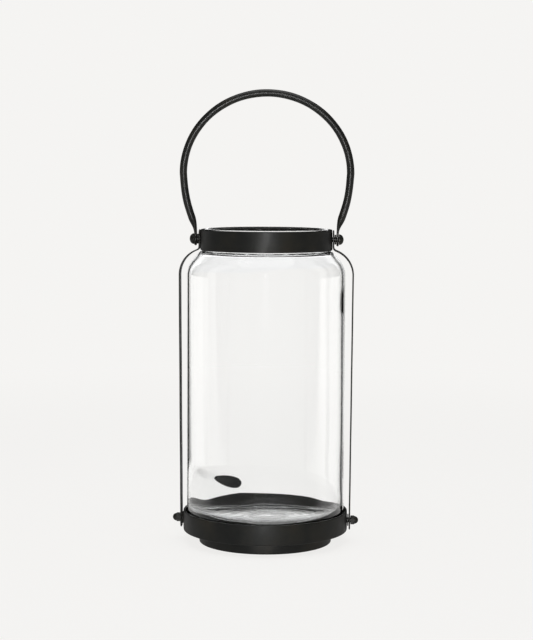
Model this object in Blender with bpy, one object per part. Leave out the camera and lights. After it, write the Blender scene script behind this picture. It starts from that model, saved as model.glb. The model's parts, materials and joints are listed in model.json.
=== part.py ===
"""Hurricane candle lantern: a thick blown glass jar in a strap-iron frame with a swinging hoop handle.

Metres, +Z up. The origin is the centre of the foot's underside, +X runs through the right strap and the
handle's pivots, and -Y is the front. Each named object is one piece of the real lantern.
"""

import math

import bmesh
import bpy
import numpy as np

# Overall
AIR = 0.0003  # gap left between pieces that touch
RING_STEPS = 48
SMALL_STEPS = 16

# Base
FOOT_OUTER = 0.0666
FOOT_WALL = 0.0020
FOOT_HEIGHT = 0.0121
RING_OUTER = 0.0826
RING_WALL = 0.0020
RING_BOTTOM = 0.0121
RING_TOP = 0.0320
PLATE_BOTTOM = FOOT_HEIGHT + AIR
PLATE_THICK = 0.0020
PAD_INNER = 0.0500
PAD_OUTER = 0.0690
PAD_BOTTOM = PLATE_BOTTOM + PLATE_THICK + AIR
PAD_THICK = 0.0015
RIM_ROUND = 0.0004  # small rounding on strip edges

# Glass
JAR_OUTER = 0.0790
JAR_BOTTOM = PAD_BOTTOM + PAD_THICK + AIR
JAR_FLOOR = 0.0256
JAR_FLOOR_FLAT = 0.0600
JAR_RIM = 0.3146
JAR_SHOULDER = 0.2680
JAR_SHOULDER_ROUND = 0.0240
NECK_OUTER = 0.0616
NECK_INNER = 0.0588

# Neck band and liner
BAND_OUTER = 0.0658
BAND_WALL = 0.0020
BAND_BOTTOM = 0.2935
BAND_TOP = 0.3139
BAND_SLIT = 0.0022
BAND_SLIT_TURN = math.radians(2.6)  # how far the slit lies from the middle of the back
LINER_INNER = NECK_OUTER + AIR
LINER_OUTER = BAND_OUTER - BAND_WALL - AIR
LINER_BOTTOM = 0.2970
LINER_TOP = 0.3129

# Straps
STRAP_WIDE = 0.0120
STRAP_THICK = 0.0014
STRAP_TOP = 0.3137
STRAP_BOTTOM = 0.0124
STRAP_LOW_X = 0.0850
STRAP_HIGH_X = BAND_OUTER + AIR + STRAP_THICK / 2
SHOULDER_X = 0.0602  # centre of the strap's bend round the shoulder
SHOULDER_Z = 0.2684
SHOULDER_ROUND = 0.0264
BOLT_HEIGHT = 0.0222
PIVOT_HEIGHT = 0.3042
HOLE_ROUND = 0.0028
SHANK_ROUND = 0.0025

# Handle
ROD_ROUND = 0.0037
EYE_MID_X = 0.0708
EYE_THICK = 0.0022
EYE_HALF_WIDE = 0.0066
HOOP_WIDEST_Z = 0.3693
HOOP_HALF_WIDE = 0.0832
HOOP_RISE = 0.0794
# the arm's middle line from the eye up to the widest point: distance from the middle, height
ARM_X = [0.0708, 0.0708, 0.0708, 0.0710, 0.0720, 0.0737, 0.0754, 0.0771, 0.0800, 0.0821, 0.0832]
ARM_Z = [0.2976, 0.3042, 0.3092, 0.3127, 0.3176, 0.3226, 0.3276, 0.3326, 0.3425, 0.3550, 0.3693]

# Fastenings
WASHER_ROUND = 0.0050
WASHER_THICK = 0.0016
RIVET_HEAD_X = EYE_MID_X + EYE_THICK / 2 + AIR
RIVET_HEAD_ROUND = 0.0055
RIVET_HEAD_TALL = 0.0046
SUNK_HEAD_ROUND = 0.0043
SUNK_HEAD_TALL = 0.0013
LOW_WASHER_ROUND = 0.0062
LOW_WASHER_THICK = 0.0010
NUT_HEX_HALF = 0.0046  # across corners, half
NUT_HEX_TALL = 0.0040
NUT_DOME_ROUND = 0.0038
NUT_DOME_TALL = 0.0038
NUT_X = STRAP_LOW_X + STRAP_THICK / 2 + AIR


def clear_scene():
    for item in list(bpy.data.objects):
        bpy.data.objects.remove(item, do_unlink=True)


def make_material(name, colour, metallic, roughness, transmission=0.0):
    """A plain Principled material."""
    material = bpy.data.materials.new(name)
    material.use_nodes = True
    shader = material.node_tree.nodes["Principled BSDF"]
    shader.inputs["Base Color"].default_value = (*colour, 1.0)
    shader.inputs["Metallic"].default_value = metallic
    shader.inputs["Roughness"].default_value = roughness
    shader.inputs["Transmission Weight"].default_value = transmission
    material.diffuse_color = (*colour, 1.0)
    return material


def make_object(name, points, faces, material):
    """A mesh object from points and faces, with its faces turned outward."""
    mesh = bpy.data.meshes.new(name)
    mesh.from_pydata([tuple(p) for p in points], [], faces)
    work = bmesh.new()
    work.from_mesh(mesh)
    bmesh.ops.remove_doubles(work, verts=work.verts, dist=1e-6)
    bmesh.ops.recalc_face_normals(work, faces=work.faces)
    work.to_mesh(mesh)
    work.free()
    mesh.update()
    item = bpy.data.objects.new(name, mesh)
    bpy.context.collection.objects.link(item)
    if material:
        mesh.materials.append(material)
    return item


def ring_faces(rows, columns, close_rows, close_columns):
    """Four-sided faces of a grid, joined round either way."""
    faces = []
    for i in range(rows if close_rows else rows - 1):
        for j in range(columns if close_columns else columns - 1):
            a = i * columns + j
            b = i * columns + (j + 1) % columns
            c = ((i + 1) % rows) * columns + (j + 1) % columns
            d = ((i + 1) % rows) * columns + j
            faces.append((a, b, c, d))
    return faces


def turn_about_z(name, profile, steps, material):
    """A closed ring: the closed profile of (radius, height) points turned round Z."""
    angles = np.arange(steps) * 2 * math.pi / steps
    points = []
    for radius, height in profile:
        for angle in angles:
            points.append((radius * math.cos(angle), radius * math.sin(angle), height))
    faces = ring_faces(len(profile), steps, True, True)
    return make_object(name, points, faces, material)


def turn_solid(name, profile, steps, along_x, side, height, material):
    """A solid of revolution from a profile of (along, radius) points.

    A radius of zero at either end closes it there. With along_x it lies along X on one side at a height,
    and without, it stands along Z.
    """
    points = []
    rows = []
    for along, radius in profile:
        if radius <= 0:
            rows.append([len(points)])
            points.append((along, 0.0, 0.0))
            continue
        row = []
        for k in range(steps):
            angle = (k + 0.5) * 2 * math.pi / steps
            row.append(len(points))
            points.append((along, radius * math.cos(angle), radius * math.sin(angle)))
        rows.append(row)
    faces = []
    for low, high in zip(rows[:-1], rows[1:]):
        for k in range(steps):
            n = (k + 1) % steps
            if len(low) == 1 and len(high) == 1:
                continue
            if len(low) == 1:
                faces.append((low[0], high[k], high[n]))
            elif len(high) == 1:
                faces.append((low[k], high[0], low[n]))
            else:
                faces.append((low[k], high[k], high[n], low[n]))
    if len(rows[0]) > 1 and len(rows[-1]) > 1:
        # open at both ends: the profile closes on itself, as on a washer
        for k in range(steps):
            n = (k + 1) % steps
            faces.append((rows[-1][k], rows[0][k], rows[0][n], rows[-1][n]))
    if along_x:
        placed = [(side * a, b, c + height) for a, b, c in points]
    else:
        placed = [(b, c, a + height) for a, b, c in points]
    return make_object(name, placed, faces, material)


def strip_profile(inner, outer, bottom, top, rounding):
    """A rectangle of strip in (radius, height), its four corners cut a little."""
    e = rounding
    return [
        (outer - e, bottom),
        (outer, bottom + e),
        (outer, top - e),
        (outer - e, top),
        (inner + e, top),
        (inner, top - e),
        (inner, bottom + e),
        (inner + e, bottom),
    ]


def add_cut(target, cutter):
    """Takes the cutter out of the target."""
    cutter.hide_render = True
    cutter.display_type = "WIRE"
    modifier = target.modifiers.new("cut", "BOOLEAN")
    modifier.operation = "DIFFERENCE"
    modifier.solver = "EXACT"
    modifier.object = cutter
    return target


def make_drill(name, start, stop, radius, side, height):
    """A cutter along X."""
    profile = [(start, 0.0), (start, radius), (stop, radius), (stop, 0.0)]
    return turn_solid(name, profile, SMALL_STEPS, True, side, height, None)


def make_sink_drill(name, face_x, side, height):
    """A cutter along X for a countersunk hole whose wide end is at face_x, with its shank going outward."""
    wide = SUNK_HEAD_ROUND + 0.0004
    profile = [
        (face_x - 0.0030, 0.0),
        (face_x - 0.0030, wide),
        (face_x + 0.0001, wide),
        (face_x + 0.0001 + SUNK_HEAD_TALL, HOLE_ROUND),
        (face_x + 0.0060, HOLE_ROUND),
        (face_x + 0.0060, 0.0),
    ]
    return turn_solid(name, profile, SMALL_STEPS, True, side, height, None)


def make_foot_ring(material):
    inner = FOOT_OUTER - FOOT_WALL
    profile = strip_profile(inner, FOOT_OUTER, 0.0, FOOT_HEIGHT, 0.0003)
    return turn_about_z("foot_ring", profile, RING_STEPS, material)


def make_base_plate(material):
    radius = RING_OUTER - RING_WALL - AIR
    top = PLATE_BOTTOM + PLATE_THICK
    profile = [
        (PLATE_BOTTOM, 0.0),
        (PLATE_BOTTOM, radius - RIM_ROUND),
        (PLATE_BOTTOM + RIM_ROUND, radius),
        (top - RIM_ROUND, radius),
        (top, radius - RIM_ROUND),
        (top, 0.0),
    ]
    return turn_solid("base_plate", profile, RING_STEPS, False, 1, 0.0, material)


def make_base_ring(material):
    inner = RING_OUTER - RING_WALL
    profile = strip_profile(inner, RING_OUTER, RING_BOTTOM, RING_TOP, RIM_ROUND)
    ring = turn_about_z("base_ring", profile, RING_STEPS, material)
    for side, label in ((-1, "left"), (1, "right")):
        drill = make_sink_drill("base_hole_" + label, inner, side, BOLT_HEIGHT)
        add_cut(ring, drill)
    return ring


def make_seat_pad(material):
    top = PAD_BOTTOM + PAD_THICK
    profile = [
        (PAD_OUTER, PAD_BOTTOM),
        (PAD_OUTER, top),
        (PAD_INNER, top),
        (PAD_INNER, PAD_BOTTOM),
    ]
    return turn_about_z("glass_seat_pad", profile, RING_STEPS, material)


def arc_points(centre_r, centre_z, radius, start, stop, count):
    """Points on an arc in (radius, height), angles in degrees from +radius towards +Z."""
    angles = np.radians(np.linspace(start, stop, count))
    return [(centre_r + radius * math.cos(a), centre_z + radius * math.sin(a)) for a in angles]


def jar_outside():
    """The jar's outer skin from the middle of the base up to the rim, as (radius, height)."""
    kick = 0.0022
    heel = 0.0075
    points = [
        (0.0, JAR_BOTTOM + kick),
        (0.0130, JAR_BOTTOM + kick),
        (0.0190, JAR_BOTTOM + kick * 0.7),
        (0.0230, JAR_BOTTOM + kick * 0.15),
        (0.0260, JAR_BOTTOM),
    ]
    points += arc_points(JAR_OUTER - heel, JAR_BOTTOM + heel, heel, -90, 0, 6)
    points += [(JAR_OUTER, 0.1500)]
    points += arc_points(JAR_OUTER - JAR_SHOULDER_ROUND, JAR_SHOULDER, JAR_SHOULDER_ROUND, 0, 40, 7)
    # a straight slope from the arc to just under the band, then a small hollow bend into the neck
    points += [
        (0.0710, 0.2861),
        (0.0687, 0.2889),
        (0.0671, 0.2908),
        (0.0658, 0.2921),
        (0.0645, 0.2929),
        (0.0632, 0.2934),
        (0.0623, 0.2942),
        (0.0618, 0.2953),
        (NECK_OUTER, 0.2966),
        (NECK_OUTER, JAR_RIM - 0.0012),
        (NECK_OUTER - 0.0005, JAR_RIM - 0.0003),
        (NECK_OUTER - 0.0014, JAR_RIM),
    ]
    return points


def jar_inside():
    """The jar's inner skin from the rim down to the middle of the floor, as (radius, height)."""
    wall = 0.0027
    points = [
        (NECK_INNER + 0.0005, JAR_RIM - 0.0003),
        (NECK_INNER, JAR_RIM - 0.0012),
        (NECK_INNER, 0.2962),
        (NECK_INNER + 0.0003, 0.2941),
        (NECK_INNER + 0.0013, 0.2924),
        (NECK_INNER + 0.0030, 0.2911),
        (0.0634, 0.2903),
        (0.0650, 0.2889),
        (0.0669, 0.2868),
        (0.0690, 0.2843),
    ]
    points += arc_points(
        JAR_OUTER - JAR_SHOULDER_ROUND, JAR_SHOULDER, JAR_SHOULDER_ROUND - wall, 40, 0, 7
    )
    points += [
        (JAR_OUTER - wall, 0.1500),
        (JAR_OUTER - wall, 0.0460),
        (0.0759, 0.0400),
        (0.0749, 0.0350),
        (0.0728, 0.0310),
        (0.0696, 0.0280),
        (0.0655, 0.0263),
        (JAR_FLOOR_FLAT, JAR_FLOOR),
        (0.0, JAR_FLOOR),
    ]
    return points


def make_glass_jar(material):
    outline = jar_outside() + jar_inside()
    profile = [(height, radius) for radius, height in outline]
    return turn_solid("glass_jar", profile, RING_STEPS, False, 1, 0.0, material)


def make_neck_liner(material):
    profile = [
        (LINER_OUTER, LINER_BOTTOM),
        (LINER_OUTER, LINER_TOP),
        (LINER_INNER, LINER_TOP),
        (LINER_INNER, LINER_BOTTOM),
    ]
    return turn_about_z("neck_liner", profile, RING_STEPS, material)


def make_neck_band(material):
    """The band is one strip rolled round, with a slit between its ends at the back."""
    inner = BAND_OUTER - BAND_WALL
    profile = strip_profile(inner, BAND_OUTER, BAND_BOTTOM, BAND_TOP, RIM_ROUND)
    middle = math.radians(90) + BAND_SLIT_TURN
    half = BAND_SLIT / 2 / BAND_OUTER
    angles = np.linspace(middle + half, middle + 2 * math.pi - half, RING_STEPS + 1)
    points = []
    for angle in angles:
        for radius, height in profile:
            points.append((radius * math.cos(angle), radius * math.sin(angle), height))
    count = len(profile)
    faces = ring_faces(len(angles), count, False, True)
    faces.append(tuple(range(count)))
    faces.append(tuple(range((len(angles) - 1) * count, len(angles) * count))[::-1])
    band = make_object("neck_band", points, faces, material)
    for side, label in ((-1, "left"), (1, "right")):
        drill = make_sink_drill("band_hole_" + label, inner, side, PIVOT_HEIGHT)
        add_cut(band, drill)
    return band


def strap_path():
    """The strap's middle line from its top end to its bottom end, as (x, z) with directions."""
    bend = 0.0040
    # small hollow bend out of the upright top, meeting the shoulder's bend
    reach = SHOULDER_ROUND + bend
    turn = math.acos((STRAP_HIGH_X + bend - SHOULDER_X) / reach)
    centre_z = SHOULDER_Z + reach * math.sin(turn)
    path = []
    for z in (STRAP_TOP, 0.3120, 0.3096, 0.3062, 0.3022, 0.2985):
        path.append((STRAP_HIGH_X, z))
    for k in range(6):
        a = math.pi + turn * k / 5.0
        path.append((STRAP_HIGH_X + bend + bend * math.cos(a), centre_z + bend * math.sin(a)))
    for k in range(1, 15):
        a = turn * (1 - k / 14.0)
        path.append((SHOULDER_X + SHOULDER_ROUND * math.cos(a), SHOULDER_Z + SHOULDER_ROUND * math.sin(a)))
    high_x = SHOULDER_X + SHOULDER_ROUND
    for z in (0.2500, 0.1800, 0.1100, 0.0600, 0.0450, 0.0380, 0.0330):
        share = (SHOULDER_Z - z) / (SHOULDER_Z - 0.0350)
        path.append((high_x + (STRAP_LOW_X - high_x) * min(1.0, share), z))
    for z in (0.0280, 0.0222, 0.0165, 0.0140, STRAP_BOTTOM):
        path.append((STRAP_LOW_X, z))
    return np.array(path)


def make_side_strap(label, side, material):
    path = strap_path()
    steps = np.diff(path, axis=0)
    steps /= np.linalg.norm(steps, axis=1)[:, None]
    along = np.vstack([steps[:1], steps[:-1] + steps[1:], steps[-1:]])
    along /= np.linalg.norm(along, axis=1)[:, None]
    outward = np.column_stack([-along[:, 1], along[:, 0]])
    length = np.concatenate([[0.0], np.cumsum(np.linalg.norm(np.diff(path, axis=0), axis=1))])
    end_gap = np.minimum(length, length[-1] - length)
    half = STRAP_WIDE / 2
    into = np.clip(half - end_gap, 0.0, half)
    widths = np.maximum(np.sqrt(half**2 - into**2), 0.0018)
    points = []
    for (x, z), (ox, oz), w in zip(path, outward, widths):
        for across, out in ((-w, -1), (w, -1), (w, 1), (-w, 1)):
            px = x + ox * out * STRAP_THICK / 2
            pz = z + oz * out * STRAP_THICK / 2
            points.append((side * px, across, pz))
    faces = ring_faces(len(path), 4, False, True)
    faces.append((0, 1, 2, 3))
    last = (len(path) - 1) * 4
    faces.append((last + 3, last + 2, last + 1, last))
    strap = make_object("side_strap_" + label, points, faces, material)
    for name, x, z in (("high", STRAP_HIGH_X, PIVOT_HEIGHT), ("low", STRAP_LOW_X, BOLT_HEIGHT)):
        drill = make_drill("strap_hole_" + name + "_" + label, x - 0.0030, x + 0.0030, HOLE_ROUND, side, z)
        add_cut(strap, drill)
    return strap


def smooth_arm(count):
    """Points along the arm's middle line, rounded between the stated ones."""
    x = np.array(ARM_X)
    z = np.array(ARM_Z)
    slope = np.gradient(x, z)
    slope[:3] = 0.0
    slope[-1] = 0.0
    heights = np.concatenate([np.linspace(z[0], z[2], 6), np.linspace(z[2], z[-1], count)[1:]])
    k = np.clip(np.searchsorted(z, heights, side="right") - 1, 0, len(z) - 2)
    span = z[k + 1] - z[k]
    t = (heights - z[k]) / span
    a = (2 * t**3 - 3 * t**2 + 1) * x[k] + (t**3 - 2 * t**2 + t) * span * slope[k]
    b = (-2 * t**3 + 3 * t**2) * x[k + 1] + (t**3 - t**2) * span * slope[k + 1]
    return np.column_stack([a + b, heights])


def make_handle_hoop(material):
    """Round rod bent to a hoop, hammered flat at each end into an eye."""
    arm = smooth_arm(18)
    angles = np.linspace(0, math.pi, 37)[1:-1]
    top_x = HOOP_HALF_WIDE * np.cos(angles)
    top_z = HOOP_WIDEST_Z + HOOP_RISE * np.sin(angles)
    top = np.column_stack([top_x, top_z])
    left = arm[::-1] * np.array([-1.0, 1.0])
    path = np.vstack([arm, top, left])
    steps = np.diff(path, axis=0)
    steps /= np.linalg.norm(steps, axis=1)[:, None]
    along = np.vstack([steps[:1], steps[:-1] + steps[1:], steps[-1:]])
    along /= np.linalg.norm(along, axis=1)[:, None]
    outward = np.column_stack([along[:, 1], -along[:, 0]])
    length = np.concatenate([[0.0], np.cumsum(np.linalg.norm(np.diff(path, axis=0), axis=1))])
    end_gap = np.minimum(length, length[-1] - length)
    # flat near the eye, round further up
    share = np.clip((end_gap - 0.0130) / 0.0160, 0.0, 1.0)
    share = share * share * (3 - 2 * share)
    thick = EYE_THICK / 2 + (ROD_ROUND - EYE_THICK / 2) * share
    wide = EYE_HALF_WIDE + (ROD_ROUND - EYE_HALF_WIDE) * share
    into = np.clip(EYE_HALF_WIDE - end_gap, 0.0, EYE_HALF_WIDE)
    wide = np.minimum(wide, np.maximum(np.sqrt(EYE_HALF_WIDE**2 - into**2), 0.0016))
    power = 2.0 + 3.0 * (1 - share)
    around = np.arange(12) * 2 * math.pi / 12
    points = []
    for (x, z), (ox, oz), a, b, p in zip(path, outward, thick, wide, power):
        for angle in around:
            c = math.cos(angle)
            s = math.sin(angle)
            out = a * math.copysign(abs(c) ** (2 / p), c)
            across = b * math.copysign(abs(s) ** (2 / p), s)
            points.append((x + ox * out, across, z + oz * out))
    faces = ring_faces(len(path), 12, False, True)
    faces.append(tuple(range(12)))
    last = (len(path) - 1) * 12
    faces.append(tuple(range(last, last + 12))[::-1])
    hoop = make_object("handle_hoop", points, faces, material)
    for side, label in ((-1, "left"), (1, "right")):
        drill = make_drill(
            "eye_hole_" + label,
            EYE_MID_X - 0.0040,
            EYE_MID_X + 0.0040,
            HOLE_ROUND,
            side,
            PIVOT_HEIGHT,
        )
        add_cut(hoop, drill)
    return hoop


def dome_profile(start, tall, radius, count):
    """The half outline of a dome in (along, radius), from its rim to its tip."""
    angles = np.linspace(0, math.pi / 2, count)
    points = [(start + tall * math.sin(a), radius * math.cos(a)) for a in angles[:-1]]
    points.append((start + tall, 0.0))
    return points


def make_pivot_rivet(label, side, material):
    """The rivet's flush head sits in the band's inner face, and its dome holds the handle's eye."""
    sunk = BAND_OUTER - BAND_WALL + 0.0001
    profile = [
        (sunk, 0.0),
        (sunk, SUNK_HEAD_ROUND),
        (sunk + SUNK_HEAD_TALL, SHANK_ROUND),
        (RIVET_HEAD_X, SHANK_ROUND),
        (RIVET_HEAD_X, RIVET_HEAD_ROUND - 0.0003),
    ]
    profile += dome_profile(RIVET_HEAD_X + 0.0004, RIVET_HEAD_TALL - 0.0004, RIVET_HEAD_ROUND, 8)
    return turn_solid("pivot_rivet_" + label, profile, SMALL_STEPS, True, side, PIVOT_HEIGHT, material)


def make_washer(name, start, thick, outer, side, height, material):
    e = 0.0002
    profile = [
        (start, HOLE_ROUND),
        (start, outer - e),
        (start + e, outer),
        (start + thick - e, outer),
        (start + thick, outer - e),
        (start + thick, HOLE_ROUND),
    ]
    return turn_solid(name, profile, SMALL_STEPS, True, side, height, material)


def make_strap_screw(label, side, material):
    """A screw from inside the base ring, its flush head in the ring's inner face."""
    sunk = RING_OUTER - RING_WALL + 0.0001
    profile = [
        (sunk, 0.0),
        (sunk, SUNK_HEAD_ROUND),
        (sunk + SUNK_HEAD_TALL, SHANK_ROUND),
        (NUT_X + 0.0046, SHANK_ROUND),
        (NUT_X + 0.0050, SHANK_ROUND - 0.0004),
        (NUT_X + 0.0050, 0.0),
    ]
    return turn_solid("strap_screw_" + label, profile, SMALL_STEPS, True, side, BOLT_HEIGHT, material)


def make_acorn_nut(label, side, material):
    """A six-sided nut closed by a dome, with a blind hole from the strap's side."""
    steps = 24
    rows = []
    hex_flat = NUT_HEX_HALF * math.cos(math.pi / 6)

    def hex_row(along, limit):
        row = []
        for k in range(steps):
            angle = k * 2 * math.pi / steps
            near = (angle + math.pi / 6) % (math.pi / 3) - math.pi / 6
            radius = min(hex_flat / math.cos(near), limit)
            row.append((along, radius * math.cos(angle), radius * math.sin(angle)))
        return row

    def round_row(along, radius):
        row = []
        for k in range(steps):
            angle = k * 2 * math.pi / steps
            row.append((along, radius * math.cos(angle), radius * math.sin(angle)))
        return row

    top = NUT_X + NUT_HEX_TALL
    rows.append(round_row(NUT_X, HOLE_ROUND))
    rows.append(hex_row(NUT_X, hex_flat + 0.00005))
    rows.append(hex_row(NUT_X + 0.0004, 1.0))
    rows.append(hex_row(top - 0.0004, 1.0))
    rows.append(hex_row(top, hex_flat + 0.00005))
    for along, radius in dome_profile(top + 0.0002, NUT_DOME_TALL - 0.0002, NUT_DOME_ROUND, 6)[:-1]:
        rows.append(round_row(along, radius))
    points = [p for row in rows for p in row]
    faces = ring_faces(len(rows), steps, False, True)
    tip = len(points)
    points.append((NUT_X + NUT_HEX_TALL + NUT_DOME_TALL, 0.0, 0.0))
    last = (len(rows) - 1) * steps
    for k in range(steps):
        faces.append((last + k, tip, last + (k + 1) % steps))
    floor = len(points)
    depth = NUT_X + 0.0056
    points += round_row(depth, HOLE_ROUND)
    end = len(points)
    points.append((depth, 0.0, 0.0))
    for k in range(steps):
        n = (k + 1) % steps
        faces.append((k, floor + k, floor + n, n))
        faces.append((floor + k, end, floor + n))
    placed = [(side * a, b, c + BOLT_HEIGHT) for a, b, c in points]
    return make_object("acorn_nut_" + label, placed, faces, material)


def build():
    clear_scene()
    iron = make_material("painted_iron", (0.035, 0.036, 0.033), 0.2, 0.5)
    glass = make_material("clear_glass", (0.93, 0.96, 0.95), 0.0, 0.03, 1.0)
    hardware = make_material("painted_fastenings", (0.030, 0.031, 0.031), 0.3, 0.42)
    soft = make_material("soft_liner", (0.09, 0.09, 0.085), 0.0, 0.9)
    make_foot_ring(iron)
    make_base_plate(iron)
    make_base_ring(iron)
    make_seat_pad(soft)
    make_glass_jar(glass)
    make_neck_liner(soft)
    make_neck_band(iron)
    make_handle_hoop(iron)
    for side, label in ((-1, "left"), (1, "right")):
        make_side_strap(label, side, iron)
        make_pivot_rivet(label, side, hardware)
        washer_x = BAND_OUTER + STRAP_THICK + 2 * AIR
        make_washer(
            "pivot_washer_" + label,
            washer_x,
            WASHER_THICK,
            WASHER_ROUND,
            side,
            PIVOT_HEIGHT,
            hardware,
        )
        make_strap_screw(label, side, hardware)
        make_washer(
            "strap_washer_" + label,
            RING_OUTER + AIR,
            LOW_WASHER_THICK,
            LOW_WASHER_ROUND,
            side,
            BOLT_HEIGHT,
            hardware,
        )
        make_acorn_nut(label, side, hardware)


build()
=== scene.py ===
import json

import bpy
import numpy as np
from mathutils import Matrix, Vector


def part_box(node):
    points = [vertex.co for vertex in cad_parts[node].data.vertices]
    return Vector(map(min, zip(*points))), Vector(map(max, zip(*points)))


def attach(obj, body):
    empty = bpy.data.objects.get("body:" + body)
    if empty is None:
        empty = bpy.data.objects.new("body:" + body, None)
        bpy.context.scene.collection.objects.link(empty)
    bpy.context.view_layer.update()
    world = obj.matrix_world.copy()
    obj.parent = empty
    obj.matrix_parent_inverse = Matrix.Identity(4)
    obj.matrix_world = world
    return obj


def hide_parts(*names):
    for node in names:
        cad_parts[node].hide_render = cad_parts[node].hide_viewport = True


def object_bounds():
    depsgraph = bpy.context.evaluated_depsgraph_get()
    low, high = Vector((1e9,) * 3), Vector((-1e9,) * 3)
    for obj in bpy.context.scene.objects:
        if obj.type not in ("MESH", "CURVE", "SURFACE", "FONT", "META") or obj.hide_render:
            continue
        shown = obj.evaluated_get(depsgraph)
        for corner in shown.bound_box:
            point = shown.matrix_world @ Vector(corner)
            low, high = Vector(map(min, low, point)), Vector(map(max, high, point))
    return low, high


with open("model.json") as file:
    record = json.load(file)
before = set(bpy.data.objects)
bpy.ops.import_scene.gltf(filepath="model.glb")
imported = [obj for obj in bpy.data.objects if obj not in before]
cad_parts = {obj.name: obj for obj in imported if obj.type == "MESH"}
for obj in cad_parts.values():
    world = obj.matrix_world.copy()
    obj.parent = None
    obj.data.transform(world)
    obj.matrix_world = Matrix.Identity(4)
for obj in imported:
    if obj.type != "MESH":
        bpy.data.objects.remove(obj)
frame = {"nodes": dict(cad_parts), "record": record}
cadLow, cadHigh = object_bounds()
print("frame loaded:", len(frame["nodes"]), "nodes")

cadTurns = 48  # sides of the CAD's rings, whose flats lie a little inside the true circle
pieceGap = 0.0003  # clear space left between neighbouring pieces of metal
drillPast = 0.004  # cutters reach this far past a fastening's ends, or each way from a strap's middle


# ---- shared shape helpers


# closed mesh from rows of points: a face joins points (i, j), (i, j+1), (i+1, j+1), (i+1, j);
# a pole point closes a first or last row as a fan; all faces are turned over if the enclosed volume
# (a sixth of the sum of a . (b x c) over the triangles) comes out negative
def meshFromRows(name, rows, loopRows, poles=(None, None)):
    count, around = rows.shape[:2]
    index = np.arange(count * around).reshape(count, around)
    across = np.roll(index, -1, 1)
    quads = np.stack([index, across, np.roll(across, -1, 0), np.roll(index, -1, 0)], -1)
    quads = (quads if loopRows else quads[:-1]).reshape(-1, 4)
    points = rows.reshape(-1, 3)
    fans = np.empty((0, 3), int)
    for pole, row, ahead in ((poles[0], index[0], False), (poles[1], index[-1], True)):
        if pole is not None:
            tip = np.full(around, len(points))
            points = np.vstack([points, [pole]])
            pair = (row, np.roll(row, -1)) if ahead else (np.roll(row, -1), row)
            fans = np.vstack([fans, np.stack([*pair, tip], -1)])
    triangles = np.vstack([quads[:, [0, 1, 2]], quads[:, [0, 2, 3]], fans])
    a, b, c = (points[triangles[:, k]] for k in range(3))
    if np.einsum("ij,ij->i", a, np.cross(b, c)).sum() < 0:
        quads, fans = quads[:, ::-1], fans[:, ::-1]
    mesh = bpy.data.meshes.new(name)
    mesh.from_pydata(points.tolist(), [], quads.tolist() + fans.tolist())
    mesh.shade_smooth()
    piece = bpy.data.objects.new(name, mesh)
    bpy.context.scene.collection.objects.link(piece)
    return piece


# outline of a rectangle with quarter-round corners: corner centre + radius * (cos t, sin t), and the
# straight runs between them filled with points that gather towards the corners
def roundedOutline(lowA, highA, lowB, highB, radius, cornerSteps=5, sideSteps=6):
    turn = np.linspace(0, np.pi / 2, cornerSteps + 1)
    fill = (1 - np.cos(np.pi * np.arange(1, sideSteps + 1) / (sideSteps + 1))) / 2
    centres = ((highA - radius, highB - radius), (lowA + radius, highB - radius))
    centres += ((lowA + radius, lowB + radius), (highA - radius, lowB + radius))
    arcs = []
    for k, (a, b) in enumerate(centres):
        angle = turn + k * np.pi / 2
        arcs.append(np.stack([a + radius * np.cos(angle), b + radius * np.sin(angle)], -1))
    parts = []
    for k, arc in enumerate(arcs):
        start, stop = arc[-1], arcs[(k + 1) % 4][0]
        parts += [arc, start + fill[:, None] * (stop - start)]
    return np.vstack(parts)


# a line with its corners cut off again and again: each leg a-b becomes 3/4 a + 1/4 b and 1/4 a + 3/4 b
def smoothLine(points, rounds):
    line = np.asarray(points, float)
    for _ in range(rounds):
        near = 0.75 * line[:-1] + 0.25 * line[1:]
        far = 0.25 * line[:-1] + 0.75 * line[1:]
        line = np.vstack([line[:1], np.stack([near, far], 1).reshape(-1, line.shape[1])[1:-1], line[-1:]])
    return line


# the same line with count points, spaced evenly in length + bendWeight * turning angle
def spacedLine(line, count, bendWeight=0.0):
    leg = np.diff(line, axis=0)
    length = np.linalg.norm(leg, axis=1)
    heading = np.unwrap(np.arctan2(leg[:, -1], leg[:, 0]))
    bend = np.abs(np.gradient(heading)) if len(heading) > 1 else 0 * length
    travel = np.concatenate([[0], np.cumsum(length + bendWeight * bend)])
    at = np.linspace(0, travel[-1], count)
    return np.stack([np.interp(at, travel, line[:, k]) for k in range(line.shape[1])], -1)


# small unevenness of hand work: sum over whole turns n of sin(n * angle + climb * height + phase) / n^0.6,
# times size / square root of how many turns are listed
def handWaves(angle, height, spec):
    draw = np.random.default_rng(spec["seed"])
    total = 0.0 * angle * height
    for turns in spec["turns"]:
        climb, phase = draw.uniform(-1, 1) * spec["climb"], draw.uniform(0, 2 * np.pi)
        total = total + np.sin(turns * angle + climb * height + phase) / turns**0.6
    return total * spec["size"] / len(spec["turns"]) ** 0.5


def smoothStep(low, high, value):
    share = np.clip((value - low) / (high - low), 0, 1)  # 3 s^2 - 2 s^3
    return share * share * (3 - 2 * share)


# (radius, height) outline turned round Z: (r cos a, r sin a, z), one row for each angle
def turnedRows(outline, angles, push):
    angle = angles[:, None]
    radius = outline[None, :, 0] + push(angle, outline[None, :, 1])
    height = np.broadcast_to(outline[None, :, 1], radius.shape)
    return np.stack([radius * np.cos(angle), radius * np.sin(angle), height], -1)


# an outline carried along a path in the XZ plane: point = path + a * sideways (Y) + b * outward normal
def sweptRows(path, outlines):
    along = np.gradient(path, axis=0)
    along /= np.linalg.norm(along, axis=1)[:, None]
    outward = np.stack([-along[:, 1], along[:, 0]], -1)
    x = path[:, 0, None] + outlines[:, :, 1] * outward[:, 0, None]
    z = path[:, 1, None] + outlines[:, :, 1] * outward[:, 1, None]
    return np.stack([x, outlines[:, :, 0], z], -1)


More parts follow.
